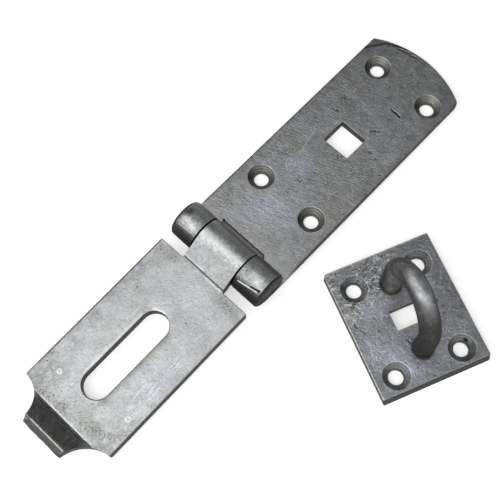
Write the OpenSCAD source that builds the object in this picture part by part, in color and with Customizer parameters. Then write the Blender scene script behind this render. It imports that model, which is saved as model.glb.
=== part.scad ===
// Heavy bolt-through hasp and staple in hot-dip galvanised steel.
// The origin is the centre of the fixed leaf's bolt hole, on its back face.
// X runs along the fixed leaf, from the hinge to the rounded end, and Z points away from the door.
// The swinging leaf lies as it does on a table: its bent nose touches the plane of the fixed leaf's back.

/* [Fixed leaf] */
// Width of both leaves
leaf_w = 50; // [40:0.5:64]
// Thickness of the strip that both leaves are made from
plate_t = 4.8; // [3:0.1:6]
// From the hinge pin to the middle of the bolt hole
pin_to_bolt = 76.2; // [66:0.2:90]
// From the middle of the bolt hole to the middle of the rounded end
bolt_to_end = 55.8; // [50:0.2:70]
// Radius of the rounded end
end_r = 48; // [36:1:90]
// Radius of the one corner that is worn round
corner_r = 2.5; // [1:0.5:5]

/* [Leaf holes] */
// The bolt hole's size along the leaf
bolt_hole_len = 12.4; // [8:0.2:16]
// The bolt hole's size across the leaf
bolt_hole_w = 13.6; // [8:0.2:16]
// From the hinge pin to the near pair of screw holes
pin_to_near_screws = 37.6; // [30:0.2:50]
// From the hinge pin to the far pair of screw holes
pin_to_far_screws = 114.1; // [102:0.1:118]
// Between the two screw holes of a pair, across the leaf
leaf_screw_pitch = 29.6; // [22:0.2:34]
// How far the far pair was punched off the leaf's middle line
far_pair_shift = 1.5; // [0:0.1:2.5]
// Diameter of a screw hole
screw_d = 6.6; // [4:0.1:8]
// Diameter of a countersink at the surface
countersink_d = 12; // [9:0.2:14]

/* [Hinge] */
// Diameter of the hinge pin
pin_d = 7.8; // [6:0.1:10]
// Radial play between the pin and the middle knuckle
pin_play = 0.08; // [0.02:0.01:0.1]
// Gap between neighbouring knuckles, along the pin
knuckle_gap = 0.6; // [0.3:0.1:1.2]
// Gap left in the fixed leaf in front of the middle knuckle
notch_gap = 2.6; // [1:0.1:4]
// How far above the leaf's face an outer knuckle's rolled end stops
seam_gap = 0.5; // [0.3:0.1:1]

/* [Swinging leaf] */
// Width of the tongue that is rolled into the middle knuckle
tongue_w = 23; // [16:0.5:30]
// How far the tongue sits off the middle line, away from the staple
tongue_shift = 0.8; // [0:0.1:2]
// From the hinge pin to the crease where the tongue starts to climb
pin_to_crease = 13; // [11.5:0.1:18]
// How far the leaf's square shoulders stop short of that crease
shoulder_back = 0.7; // [0.3:0.1:2]
// Radius of the fillets between the tongue and the shoulders
shoulder_fillet = 1.3; // [0.5:0.1:2]
// From the hinge pin to the middle of the slot
pin_to_slot = 59.8; // [50:0.2:66]
// From the hinge pin to the crease of the bent nose
pin_to_nose = 95.5; // [92:0.5:106]
// Length of the nose beyond its crease
nose_len = 11.9; // [8:0.1:13]
// How far the nose is bent up out of the leaf
nose_angle = 30; // [15:1:45]
// Radius of the two hollow corners beside the nose
hollow_r = 14; // [13.5:0.1:16]
// How far a locked leaf lies above the staple's plate
leaf_seat_gap = 0.2; // [0.1:0.1:1]

/* [Staple] */
// Width of the staple's plate
staple_w = 49; // [42:0.5:70]
// Length of the staple's plate, along its loop
staple_len = 60; // [54:0.5:80]
// Thickness of the staple's plate
staple_t = 5; // [3:0.1:7]
// Radius of the staple plate's sheared corners
staple_corner_r = 0.6; // [0.2:0.1:2]
// Radius of the one corner of the staple's plate that is worn round
staple_worn_r = 1.3; // [0.5:0.1:5]
// The staple's bolt hole across the loop
staple_hole_w = 12.4; // [8:0.2:14]
// The staple's bolt hole along the loop
staple_hole_len = 9; // [7:0.2:13]
// Between screw holes across the staple's plate
staple_pitch_w = 30; // [26:0.5:34]
// Between screw holes along the staple's plate
staple_pitch_len = 40.6; // [36:0.2:42]
// How far the staple's screw holes sit off its middle, towards its near end
staple_screw_shift = 1.1; // [0:0.1:1.6]
// Diameter of the loop's round bar
bar_d = 9; // [7:0.2:10]
// Between the middles of the loop's two legs
loop_span = 30.4; // [26:0.2:34]
// Height of the loop above the plate
loop_h = 40.2; // [36:0.2:50]
// Centre-line radius of the loop's crown, tighter than half the span
loop_crown_r = 10.2; // [8:0.2:12]
// Room on each side of the bar in the slot
slot_side_play = 1.8; // [0.5:0.1:3]
// Room at each end of the loop in the slot
slot_end_play = 3.2; // [0.5:0.1:4]

/* [Where the staple lies] */
// Middle of the staple's plate, along the hasp
staple_x = -43.6; // [-60:0.2:60]
// Middle of the staple's plate, across the hasp
staple_y = -73; // [-120:0.5:-70]
// Turn of the staple's plate
staple_turn = -23.4; // [-90:0.2:90]

/* [Hidden] */
$fn = 96;

// How far a cutter runs past the face it cuts
through = 1;
zinc_blue = [0.53, 0.55, 0.57];
zinc_light = [0.68, 0.69, 0.69];
zinc_mid = [0.50, 0.51, 0.52];
zinc_dark = [0.40, 0.41, 0.42];

// The barrel is the strip rolled once around the pin, and lies on the plane of the fixed leaf's back
pin_r = pin_d / 2;
barrel_r = pin_r + plate_t;
pin_x = -pin_to_bolt;
notch_reach = barrel_r + notch_gap;
middle_lo = tongue_shift - tongue_w / 2;
middle_hi = tongue_shift + tongue_w / 2;

// An outer knuckle's rolled end stands just over the leaf's face
seam_angle = asin((pin_r - seam_gap) / barrel_r);

// The swinging leaf's two faces, measured up from the pin's axis while the leaf is level
leaf_back = staple_t + leaf_seat_gap - barrel_r;
leaf_top = leaf_back + plate_t;

// The tongue climbs from its crease until it runs into the barrel, this deep under the outer circle
join_bite = 0.05;
crease_dist = norm([pin_to_crease, leaf_top]);
climb = asin((barrel_r - join_bite) / crease_dist) - atan2(leaf_top, pin_to_crease);
touch_angle = 90 + climb;
join_angle = 1.3 * acos((barrel_r - join_bite) / barrel_r);
// The middle knuckle's rolled end stops just under the climbing tongue
tail_angle = touch_angle + acos((pin_r - seam_gap) / barrel_r);

// The leaf rests on the underside of its nose bend, so it slopes down by this much
nose_dist = norm([pin_to_nose, leaf_top]);
rest_slope = asin((barrel_r - plate_t) / nose_dist) + atan2(leaf_top, pin_to_nose);

slot_w = bar_d + 2 * slot_side_play;
slot_len = loop_span + bar_d + 2 * slot_end_play;
leaf_edge = pin_to_crease + shoulder_back;
blank_end = pin_to_nose + nose_len;
tongue_crease = [-pin_to_crease, leaf_top];
nose_crease = [-pin_to_nose, leaf_top];
// Straight steps that make up the round outside of a bend
bend_steps = 8;

// The loop is a three-centre arch: straight legs, two wide shoulders and a tight crown.
// A shoulder meets the crown on a line that runs three across for four up.
bar_r = bar_d / 2;
half_span = loop_span / 2;
joint_across = 0.6;
joint_up = 0.8;
centre_gap = (half_span - loop_crown_r) / (1 - joint_across);
loop_shoulder_r = loop_crown_r + centre_gap;
crown_rise = centre_gap * joint_up;
leg_h = loop_h - bar_r - loop_crown_r - crown_rise;

// A plate's screw hole with its countersink, cut down from the top face
module screw_hole(thickness) {
    sink = (countersink_d - screw_d) / 2;
    translate([0, 0, -through]) cylinder(d = screw_d, h = thickness + 2 * through);
    translate([0, 0, thickness - sink]) cylinder(d1 = screw_d, d2 = countersink_d, h = sink);
    translate([0, 0, thickness]) cylinder(d = countersink_d, h = through);
}

// A plate's hole for the square neck of a bolt
module bolt_hole(size_x, size_y, thickness) {
    translate([-size_x / 2, -size_y / 2, -through]) cube([size_x, size_y, thickness + 2 * through]);
}

// Turns an outline drawn in length and height into a bar that runs from y = from to y = to
module along_pin(from, to) {
    translate([0, to, 0]) rotate([90, 0, 0]) linear_extrude(height = to - from) children();
}

// A pie slice between two angles, large enough to cut right through the barrel
module slice(from, to, reach) {
    polygon([
        [0, 0],
        reach * [cos(from), sin(from)],
        reach * 1.4 * [cos((from + to) / 2), sin((from + to) / 2)],
        reach * [cos(to), sin(to)]
    ]);
}

// Outline of the fixed leaf from the pin's line to its rounded end
module fixed_outline() {
    arc_x = bolt_to_end - end_r;
    round_y = corner_r - leaf_w / 2;
    round_x = arc_x + sqrt(pow(end_r - corner_r, 2) - round_y * round_y);
    out = end_r / (end_r - corner_r);
    difference() {
        intersection() {
            translate([pin_x, -leaf_w / 2]) square([pin_to_bolt + bolt_to_end, leaf_w]);
            union() {
                translate([pin_x, -leaf_w / 2]) square([pin_to_bolt + arc_x, leaf_w]);
                translate([arc_x, 0]) circle(r = end_r, $fn = 180);
            }
        }
        polygon([
            [round_x, round_y],
            [round_x, -leaf_w],
            [bolt_to_end, -leaf_w],
            [arc_x + (round_x - arc_x) * out, round_y * out]
        ]);
    }
    translate([round_x, round_y]) circle(r = corner_r);
}

// Cross-section of an outer knuckle: the strip passes under the pin, up its far side and over it
module outer_knuckle_section() {
    difference() {
        circle(r = barrel_r);
        circle(r = pin_r);
        slice(-90, -seam_angle, 2 * barrel_r);
    }
    translate([0, -barrel_r]) square([notch_reach, plate_t]);
}

module fixed_leaf() {
    color(zinc_blue) {
        difference() {
            linear_extrude(height = plate_t) fixed_outline();
            translate([pin_x - through, -leaf_w / 2 - through, -through])
                cube([through + notch_reach, leaf_w + 2 * through, plate_t + 2 * through]);
            bolt_hole(bolt_hole_len, bolt_hole_w, plate_t);
            for (side = [-1, 1]) {
                translate([pin_x + pin_to_near_screws, side * leaf_screw_pitch / 2, 0]) screw_hole(plate_t);
                translate([pin_x + pin_to_far_screws, side * leaf_screw_pitch / 2 - far_pair_shift, 0])
                    screw_hole(plate_t);
            }
        }
        translate([pin_x, 0, barrel_r]) {
            along_pin(-leaf_w / 2, middle_lo - knuckle_gap) outer_knuckle_section();
            along_pin(middle_hi + knuckle_gap, leaf_w / 2) outer_knuckle_section();
        }
    }
}

module hinge_pin() {
    color(zinc_dark)
        translate([pin_x, leaf_w / 2, barrel_r])
            rotate([90, 0, 0]) cylinder(r = pin_r, h = leaf_w);
}

// Points along the outside of a sharp bend, the strip's thickness away from its crease
function bend_points(crease, from, to) =
    [for (i = [0:bend_steps]) let (a = from + (to - from) * i / bend_steps) crease + plate_t * [cos(a), sin(a)]];

// Side view of the middle knuckle and of the tongue that climbs to it
module tongue_section() {
    difference() {
        union() {
            difference() {
                circle(r = barrel_r);
                slice(touch_angle + join_angle, tail_angle, 2 * barrel_r);
            }
            polygon(concat(
                [
                    [-leaf_edge - through, leaf_top],
                    tongue_crease,
                    (barrel_r - join_bite) * [cos(touch_angle), sin(touch_angle)],
                    (barrel_r - join_bite - plate_t) * [cos(touch_angle), sin(touch_angle)]
                ],
                bend_points(tongue_crease, climb - 90, -90),
                [[-leaf_edge - through, leaf_back]]
            ));
        }
        circle(r = pin_r + pin_play);
    }
}

// Side view of the leaf's flat and its bent nose
module leaf_section() {
    tip = nose_crease + nose_len * [-cos(nose_angle), sin(nose_angle)];
    polygon(concat(
        [
            [-leaf_edge, leaf_top],
            nose_crease,
            tip,
            tip + plate_t * [-sin(nose_angle), -cos(nose_angle)]
        ],
        bend_points(nose_crease, -90 - nose_angle, -90),
        [[-leaf_edge, leaf_back]]
    ));
}

// The strip left between the tongue's side and the leaf's square shoulder
module shoulder_fillets() {
    for (side = [-1, 1])
        translate([-leaf_edge, tongue_shift + side * tongue_w / 2]) difference() {
            translate([-through, side > 0 ? -through : -shoulder_fillet])
                square([min(shoulder_fillet, shoulder_back) + through, shoulder_fillet + through]);
            translate([shoulder_fillet, side * shoulder_fillet]) circle(r = shoulder_fillet);
        }
}

module slot_outline() {
    straight = slot_len - slot_w;
    translate([-pin_to_slot - straight / 2, -slot_w / 2]) square([straight, slot_w]);
    for (end = [-1, 1]) translate([-pin_to_slot + end * straight / 2, 0]) circle(d = slot_w);
}

// The swinging leaf, level, with the pin's axis at the origin
module level_leaf() {
    along_pin(middle_lo, middle_hi) tongue_section();
    translate([0, 0, leaf_back]) linear_extrude(height = plate_t) shoulder_fillets();
    difference() {
        along_pin(-leaf_w / 2, leaf_w / 2) leaf_section();
        translate([0, 0, leaf_back - through]) linear_extrude(height = plate_t + 2 * through) slot_outline();
        for (side = [-1, 1])
            translate([-blank_end, side * leaf_w / 2, leaf_back - through])
                cylinder(r = hollow_r, h = plate_t + nose_len + 2 * through);
    }
}

module hasp_leaf() {
    color(zinc_light)
        translate([pin_x, 0, barrel_r]) rotate([0, -rest_slope, 0]) level_leaf();
}

// Puts a piece of the staple where the staple lies
module at_staple() {
    translate([staple_x, staple_y, 0]) rotate(staple_turn) children();
}

// What a round corner leaves out of a square one whose tip is at the origin
module corner_waste(r) {
    difference() {
        translate([-r, -r]) square(r + through);
        translate([-r, -r]) circle(r = r);
    }
}

module staple_outline() {
    difference() {
        square([staple_w, staple_len], center = true);
        for (left = [0, 1], near = [0, 1])
            mirror([left, 0, 0]) mirror([0, near, 0])
                translate([staple_w / 2, staple_len / 2])
                    corner_waste(left == 1 && near == 0 ? staple_worn_r : staple_corner_r);
    }
}

module staple_plate() {
    color(zinc_mid) at_staple() difference() {
        linear_extrude(height = staple_t) staple_outline();
        bolt_hole(staple_hole_w, staple_hole_len, staple_t);
        for (a = [-1, 1], b = [-1, 1])
            translate([a * staple_pitch_w / 2, b * staple_pitch_len / 2 - staple_screw_shift, 0])
                screw_hole(staple_t);
        for (b = [-1, 1])
            translate([0, b * half_span, -through]) cylinder(r = bar_r, h = staple_t + 2 * through);
    }
}

// One arc of the loop's bar in the plane of the loop: the part of a ring that a window shows
module bar_arc(centre, radius, window) {
    intersection() {
        translate(centre) rotate_extrude() translate([radius, 0]) circle(r = bar_r);
        linear_extrude(height = 2 * bar_d, center = true) polygon(window);
    }
}

module staple_loop() {
    reach = 2 * loop_h;
    crown = [0, crown_rise];
    shoulder = [half_span - loop_shoulder_r, 0];
    color(zinc_dark) at_staple() {
        for (side = [-1, 1]) translate([0, side * half_span, 0]) cylinder(r = bar_r, h = staple_t + leg_h);
        translate([0, 0, staple_t + leg_h]) rotate([90, 0, 90]) {
            bar_arc(crown, loop_crown_r, [
                crown,
                crown + reach * [joint_across, joint_up],
                crown + reach * [-joint_across, joint_up]
            ]);
            for (side = [0, 1]) mirror([side, 0, 0])
                bar_arc(shoulder, loop_shoulder_r, [
                    shoulder,
                    shoulder + reach * [1, 0],
                    shoulder + reach * [joint_across, joint_up]
                ]);
        }
    }
}

fixed_leaf();
hinge_pin();
hasp_leaf();
staple_plate();
staple_loop();
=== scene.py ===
"""Looks of a hot-dip galvanised hasp and staple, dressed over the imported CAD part."""

import math

import bmesh
import bpy
from mathutils import Euler, Matrix, Vector, noise


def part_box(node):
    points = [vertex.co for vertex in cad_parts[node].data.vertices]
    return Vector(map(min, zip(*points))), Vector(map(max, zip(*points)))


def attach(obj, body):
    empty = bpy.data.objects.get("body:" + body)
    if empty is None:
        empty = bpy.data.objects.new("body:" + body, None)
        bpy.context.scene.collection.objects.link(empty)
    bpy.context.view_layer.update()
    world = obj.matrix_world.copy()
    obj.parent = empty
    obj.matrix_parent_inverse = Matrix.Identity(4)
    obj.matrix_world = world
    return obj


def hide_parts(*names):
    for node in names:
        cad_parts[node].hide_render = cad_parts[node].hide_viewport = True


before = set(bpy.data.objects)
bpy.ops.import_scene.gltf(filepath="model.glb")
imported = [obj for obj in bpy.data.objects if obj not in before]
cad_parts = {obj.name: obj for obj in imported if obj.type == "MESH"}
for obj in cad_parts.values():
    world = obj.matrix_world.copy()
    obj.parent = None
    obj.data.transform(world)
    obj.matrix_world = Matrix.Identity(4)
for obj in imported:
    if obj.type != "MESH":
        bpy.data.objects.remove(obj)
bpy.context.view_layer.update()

# Sizes below are in millimetres, and one millimetre is this many of Blender's metres
MM = 0.001

# The photograph's camera: its place, its turn in degrees, and its focal length in the photograph's pixels
CAMERA_AT = (-177.0, -112.9, 418.5)
CAMERA_TURN = (20.40, 0.40, -46.66)
PHOTO_PX = 500
FOCAL_PX = 1030.5
SENSOR_MM = 36.0

# The barrel is the strip rolled around the pin, down to the plane that the hasp lies on
pin_low, pin_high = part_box("hinge_pin")
PIN = (pin_low + pin_high) / 2 / MM
BARREL_R = PIN.z
# The swinging leaf rests on its nose, so it slopes down from the pin.
# Its top is this far above the pin's axis
LEAF_SLOPE = math.radians(3.12)
LEAF_TOP = 1.3
# Where the tongue's crease and the nose's bend are, from the pin, and how far the nose is bent up
CREASE_AT = 13.0
BEND_AT = 95.5
NOSE_TILT = math.radians(30)
# The nose's end starts this far past the bend, and this length from its end takes in all of the nose
NOSE_END_FROM = 8.2
NOSE_REACH = 30.0
# The nose's inner face is cut this far past the bend and, beside the bend's ends, this far from the middle
PAST_BEND = 0.5
BEND_HALF_WIDTH = 15.6
# How far the top of the nose's end was worn back from its lower edge, how deep its uneven band goes in,
# and into how many steps that band is cut
LIP_WORN = 1.5
LIP_BAND = 1.4
LIP_STEPS = 22
# The uneven end waves in this length, ripples in this one, and is worn this far in from its two corners
LIP_WAVE = 5.0
LIP_RIPPLE = 2.6
LIP_CORNER = 2
# The fixed leaf's face, half the width of both leaves, and where the fixed leaf's rounded end starts
PLATE_TOP = 4.8
HALF_WIDTH = 25.0
ROUND_END_FROM = 46
# Edges this near the frame's origin belong to the fixed leaf's bolt hole, whose middle it is,
# and edges this near the staple's middle belong to the staple's bolt hole
LEAF_BOLT_WITHIN = 8
STAPLE_BOLT_WITHIN = 9
# The middle of the staple's plate, its turn, and where the loop's two legs stand along it
loop_low, loop_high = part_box("staple_loop")
STAPLE = (loop_low + loop_high) / 2 / MM
STAPLE_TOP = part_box("staple_plate")[1].z / MM
LOOP_TOP = Vector((STAPLE.x, STAPLE.y, loop_high.z / MM))
STAPLE_TURN = math.radians(-23.4)
LEG_AT = 15.2
BAR_R = 4.5
# How far the shears left the near end of the staple's plate leaning out from its top edge
SHEAR_LEAN = 1.3
# Half the length of the staple's plate
PLATE_REACH = 30.0
# The notch in the fixed leaf in front of the middle knuckle
NOTCH_AT = PIN.x + 11.3
# The swinging leaf's slot: its middle from the pin, its length, and its width
SLOT_AT = 59.8
SLOT_LENGTH = 45.8
SLOT_WIDTH = 12.6

# The screw holes' middles: on the fixed leaf along and across it, and on the staple across and along it
LEAF_SCREWS = ((-38.6, 14.8), (-38.6, -14.8), (37.9, 13.3), (37.9, -16.3))
STAPLE_SCREWS = ((-15, 19.2), (15, 19.2), (-15, -21.4), (15, -21.4))
COUNTERSINK_R = 6.0
# The rings that the countersinking tool left are this far apart: coarser than real, so that they show
CHATTER_PITCH = 0.9

# In a CAD node, points this close are one point, and this close to a cut lie on it
WELD = 0.002
ON_PLANE = 0.001
# Points this close to the nose's worn end lie on it, and this close to its outermost or topmost point
# are level with that point
ON_WORN_END = 0.01
LEVEL_WITHIN = 0.05
# Faces that turn by less than this are one flat, and edges that turn by more than this are corners
FLAT_WITHIN = math.radians(0.6)
CORNER_FROM = math.radians(28)
# The widest rounding that the zinc gives an edge. Each edge's bevel weight is its own radius over this one
WIDEST_ROUND = 2.0

# Sockets of a colour Mix node, whose names it shares with hidden ones
MIX_A, MIX_B, MIX_OUT = 6, 7, 2


# Places on the pieces

def on_axis(across):
    """A point on the pin's axis."""
    return Vector((PIN.x, across, PIN.z))


def on_swinging_leaf(from_pin, across, height=LEAF_TOP):
    """A point on the swinging leaf's top, from its distance to the pin and its place across."""
    flat = Vector((-from_pin, across, height))
    flat.rotate(Euler((0, -LEAF_SLOPE, 0)))
    return flat + on_axis(0)


def along_swinging_leaf(place):
    """A place's distance from the pin along the swinging leaf."""
    away = place - on_axis(0)
    away.rotate(Euler((0, LEAF_SLOPE, 0)))
    return -away.x


def on_staple(across, along):
    """A point on the staple plate's top, from its place across and along the plate."""
    flat = Vector((across, along, 0))
    flat.rotate(Euler((0, 0, STAPLE_TURN)))
    return Vector((STAPLE.x + flat.x, STAPLE.y + flat.y, STAPLE_TOP))


def on_fixed_leaf(along, across):
    return Vector((along, across, PLATE_TOP))


def on_barrel(across, height_angle):
    """A point on the barrel, from its place along the pin and its angle up from the swinging leaf's side."""
    angle = math.radians(height_angle)
    return Vector((PIN.x - BARREL_R * math.cos(angle), across, PIN.z + BARREL_R * math.sin(angle)))


def flat_distance(place, other):
    return math.hypot(place[0] - other[0], place[1] - other[1])


# Shapes

def merged_copy(node):
    """A bmesh of a CAD node with its loose triangles joined and its flats made whole faces again."""
    bm = bmesh.new()
    bm.from_mesh(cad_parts[node].data)
    bmesh.ops.remove_doubles(bm, verts=bm.verts, dist=WELD * MM)
    bmesh.ops.dissolve_limit(
        bm, angle_limit=FLAT_WITHIN, verts=bm.verts, edges=bm.edges, delimit={"NORMAL"})
    return bm


def mark_corners(bm, radius_at):
    """Gives each outward corner a bevel weight from its radius. Zinc rounds these alone."""
    weight = bm.edges.layers.float.new("bevel_weight_edge")
    for edge in bm.edges:
        if edge.calc_face_angle(0.0) > CORNER_FROM:
            middle = (edge.verts[0].co + edge.verts[1].co) / 2 / MM
            edge[weight] = radius_at(middle) / WIDEST_ROUND if edge.is_convex else 0.0
            edge.smooth = edge[weight] > 0.0


def dressed(bm, node, body, material):
    """Makes the bmesh a finished piece that rides on its body and stands for its CAD node."""
    for face in bm.faces:
        face.smooth = True
    name = "dipped_" + node
    mesh = bpy.data.meshes.new(name)
    bm.to_mesh(mesh)
    bm.free()
    mesh.materials.append(material)
    piece = bpy.data.objects.new(name, mesh)
    bpy.context.scene.collection.objects.link(piece)
    rounding = piece.modifiers.new("zinc_rounds_corners", "BEVEL")
    rounding.limit_method = "WEIGHT"
    rounding.width = WIDEST_ROUND * MM
    rounding.segments = 3
    rounding.profile = 0.5
    rounding.use_clamp_overlap = False
    rounding.loop_slide = False
    piece.modifiers.new("flats_stay_flat", "WEIGHTED_NORMAL").keep_sharp = True
    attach(piece, body)
    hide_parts(node)


def fixed_leaf():
    """The strip with the rounded end, the bolt hole, four screw holes and the two outer knuckles."""
    def radius_at(place):
        if math.hypot(place.x - PIN.x, place.z - PIN.z) < BARREL_R - 1:
            return 0.0
        if place.x < PIN.x + BARREL_R and place.y > HALF_WIDTH - 0.5:
            return 1.6
        if place.x < PIN.x + BARREL_R and place.y < 0.5 - HALF_WIDTH:
            return 1.0
        if place.x < PIN.x + BARREL_R + 6:
            return 0.25
        if any(flat_distance(place, screw) < COUNTERSINK_R + 0.5 for screw in LEAF_SCREWS):
            return 0.15
        if max(abs(place.x), abs(place.y)) < LEAF_BOLT_WITHIN:
            return 0.25
        return 0.9 if place.x > ROUND_END_FROM and place.z > PLATE_TOP / 2 else 0.5

    bm = merged_copy("fixed_leaf")
    mark_corners(bm, radius_at)
    dressed(bm, "fixed_leaf", "fixed_side", brushed_zinc())


def hinge_pin():
    """The pin. It shows in the gaps and, flush and closed over with zinc, at the barrel's ends."""
    bm = merged_copy("hinge_pin")
    mark_corners(bm, lambda place: 0.0)
    dressed(bm, "hinge_pin", "fixed_side", pin_zinc())


def cut_faces(bm, faces, place, normal):
    """Cuts just these faces along a plane."""
    parts = dict.fromkeys(part for face in faces for part in (*face.edges, *face.verts))
    bmesh.ops.bisect_plane(bm, geom=[*faces, *parts], dist=ON_PLANE * MM, plane_co=place, plane_no=normal)


def drip_the_lip(bm):
    """Wears the nose's end back and makes it uneven, where zinc ran off it. Gives the ends of its brink."""
    nose_turn = Euler((0, NOSE_TILT - LEAF_SLOPE, 0))
    outward = Vector((-1, 0, 0))
    outward.rotate(nose_turn)
    upward = Vector((0, 0, 1))
    upward.rotate(nose_turn)
    reach = max(vert.co.dot(outward) for vert in bm.verts)
    end = [vert.co.dot(upward) for vert in bm.verts if vert.co.dot(outward) > reach - LEVEL_WITHIN * MM]
    bottom, top = min(end), max(end)
    worn = (outward * (top - bottom) + upward * LIP_WORN * MM).normalized()
    corner = outward * reach + upward * bottom

    def faces_within(depth):
        return [f for f in bm.faces if (f.calc_center_median() - corner).dot(worn) > -depth * MM]

    def worn_points():
        return [vert for vert in bm.verts if (vert.co - corner).dot(worn) > -ON_WORN_END * MM]

    everything = [*bm.verts, *bm.edges, *bm.faces]
    bmesh.ops.bisect_plane(
        bm, geom=everything, dist=ON_PLANE * MM, plane_co=corner, plane_no=worn, clear_outer=True)
    bmesh.ops.holes_fill(bm, edges=[edge for edge in bm.edges if edge.is_boundary])
    cut_faces(bm, faces_within(NOSE_REACH), corner - worn * LIP_BAND * MM, worn)
    cut_faces(bm, faces_within(LIP_BAND), upward * (0.45 * top + 0.55 * bottom), upward)
    brink = [vert.co.y for vert in worn_points() if vert.co.dot(upward) > top - LEVEL_WITHIN * MM]
    left, right = max(brink), min(brink)
    for step in range(1, LIP_STEPS):
        across = right + (left - right) * step / LIP_STEPS
        cut_faces(bm, faces_within(LIP_BAND), Vector((0, across, 0)), Vector((0, 1, 0)))
    # The end is drawn in by waves, ripples and worn corners, all of them deeper towards its foot
    for vert in worn_points():
        low = (top - vert.co.dot(upward)) / (top - bottom)
        wave = noise.noise(Vector((vert.co.y / MM / LIP_WAVE, 0.7 * low, 5.0)))
        ripple = noise.noise(Vector((vert.co.y / MM / LIP_RIPPLE, 1.1 * low, 9.0)))
        corner_worn = min(1, max(0, 1 - min(left - vert.co.y, vert.co.y - right) / MM / LIP_CORNER))
        drawn_in = 0.3 * low * (1 + wave) + (0.1 + 0.1 * low) * (1 + ripple) + 0.4 * low * corner_worn
        vert.co -= outward * drawn_in * MM
    return right / MM, left / MM


def part_the_bend(bm):
    """Cuts the nose's inner face beside its bend, so that the bend's ends shade only a little of it."""
    inward = Vector((0, 0, 1))
    inward.rotate(Euler((0, NOSE_TILT - LEAF_SLOPE, 0)))
    bend = on_swinging_leaf(BEND_AT, 0) * MM

    def inner_faces(largest):
        """The faces that look the way the nose's inner face does, up to this many square millimetres."""
        return [f for f in bm.faces if f.normal.dot(inward) > 0.999 and f.calc_area() < largest * MM * MM]

    cut_faces(bm, inner_faces(400), bend + Vector((-PAST_BEND * MM, 0, 0)), Vector((1, 0, 0)))
    for across in (-BEND_HALF_WIDTH, BEND_HALF_WIDTH):
        cut_faces(bm, inner_faces(30), Vector((0, across * MM, 0)), Vector((0, 1, 0)))


def hasp_leaf():
    """The slotted leaf: hollowed corners, a bent nose, and a tongue rolled into the middle knuckle."""
    def radius_at(place):
        from_pin = along_swinging_leaf(place)
        if from_pin < CREASE_AT - 1:
            return 0.25
        if from_pin > BEND_AT + NOSE_END_FROM:
            return 0.6 if brink_right + 0.8 < place.y < brink_left - 0.8 else 0.15
        if abs(place.y) > HALF_WIDTH - 0.5:
            return 0.9
        by_slot = max(abs(from_pin - SLOT_AT) - SLOT_LENGTH / 2, abs(place.y) - SLOT_WIDTH / 2) < 0.5
        if by_slot and place.z > on_swinging_leaf(from_pin, place.y).z - 0.5:
            return 0.7
        return 0.35

    bm = merged_copy("hasp_leaf")
    brink_right, brink_left = drip_the_lip(bm)
    part_the_bend(bm)
    mark_corners(bm, radius_at)
    dressed(bm, "hasp_leaf", "swinging_leaf", wiped_zinc())


def staple_plate():
    """The staple's plate: four countersunk screw holes, a bolt hole, and two holes for the loop's legs."""
    holes = [on_staple(*screw) for screw in STAPLE_SCREWS]
    legs = [on_staple(0, LEG_AT), on_staple(0, -LEG_AT)]

    def radius_at(place):
        if any(flat_distance(place, leg) < BAR_R + 0.6 for leg in legs):
            return 0.0
        if any(flat_distance(place, hole) < COUNTERSINK_R + 0.5 for hole in holes):
            return 0.15
        if flat_distance(place, STAPLE) < STAPLE_BOLT_WITHIN:
            return 0.25
        return 0.3

    bm = merged_copy("staple_plate")
    along = (on_staple(0, 1) - on_staple(0, 0)).normalized()
    for vert in bm.verts:
        from_middle = (vert.co / MM - STAPLE).dot(along)
        if from_middle < 1 - PLATE_REACH:
            vert.co += along * SHEAR_LEAN * vert.co.z / STAPLE_TOP
    mark_corners(bm, radius_at)
    dressed(bm, "staple_plate", "staple", dross_zinc())


def staple_loop():
    """The bent round bar that the padlock goes through."""
    bm = merged_copy("staple_loop")
    mark_corners(bm, lambda place: 0.4)
    dressed(bm, "staple_loop", "staple", bar_zinc())


# Patterns of a zinc coat

def linear(hex_colour):
    """A '#rrggbb' sRGB colour as the linear values that Blender's sockets take."""
    channels = [int(hex_colour[i:i + 2], 16) / 255 for i in (1, 3, 5)]
    return tuple(c / 12.92 if c <= 0.04045 else ((c + 0.055) / 1.055) ** 2.4 for c in channels) + (1.0,)


def grey(value):
    return (value, value, value, 1.0)


def add(tree, kind, settings=None, links=None):
    """Adds a node. Settings name properties, sockets or a ramp's stops; links give what feeds a socket."""
    node = tree.nodes.new(kind)
    for key, value in (settings or {}).items():
        if key == "stops":
            elements = node.color_ramp.elements
            while len(elements) < len(value):
                elements.new(1.0)
            for element, (position, colour) in zip(elements, value):
                element.position = position
                element.color = colour
        elif isinstance(key, int) or key in node.inputs:
            node.inputs[key].default_value = value
        else:
            setattr(node, key, value)
    for key, output in (links or {}).items():
        tree.links.new(output, node.inputs[key])
    return node


def start_zinc(name):
    """A zinc material's tree and shader, and the object's coordinates in millimetres."""
    material = bpy.data.materials.new(name)
    material.use_nodes = True
    tree = material.node_tree
    shader = tree.nodes["Principled BSDF"]
    shader.inputs["Metallic"].default_value = 1.0
    # Weathered zinc is oxide at its skin, so it doesn't flare up where it is seen along its surface
    shader.inputs["Specular Tint"].default_value = grey(0.55)
    place = add(tree, "ShaderNodeTexCoord").outputs["Object"]
    mm = add(tree, "ShaderNodeVectorMath", {"operation": "SCALE", "Scale": 1 / MM}, {0: place}).outputs[0]
    return material, tree, shader, mm


def ragged(tree, mm, size, reach):
    """Coordinates pushed about by up to the reach, so that what is drawn on them gets an uneven outline."""
    settings = {"Scale": 1 / size, "Detail": 2.0}
    push = add(tree, "ShaderNodeTexNoise", settings, {"Vector": mm}).outputs["Color"]
    settings = {"operation": "SUBTRACT", 1: (0.5, 0.5, 0.5)}
    centred = add(tree, "ShaderNodeVectorMath", settings, {0: push}).outputs[0]
    settings = {"operation": "MULTIPLY_ADD", 1: (2 * reach, 2 * reach, 2 * reach)}
    return add(tree, "ShaderNodeVectorMath", settings, {0: centred, 2: mm}).outputs[0]


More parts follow.
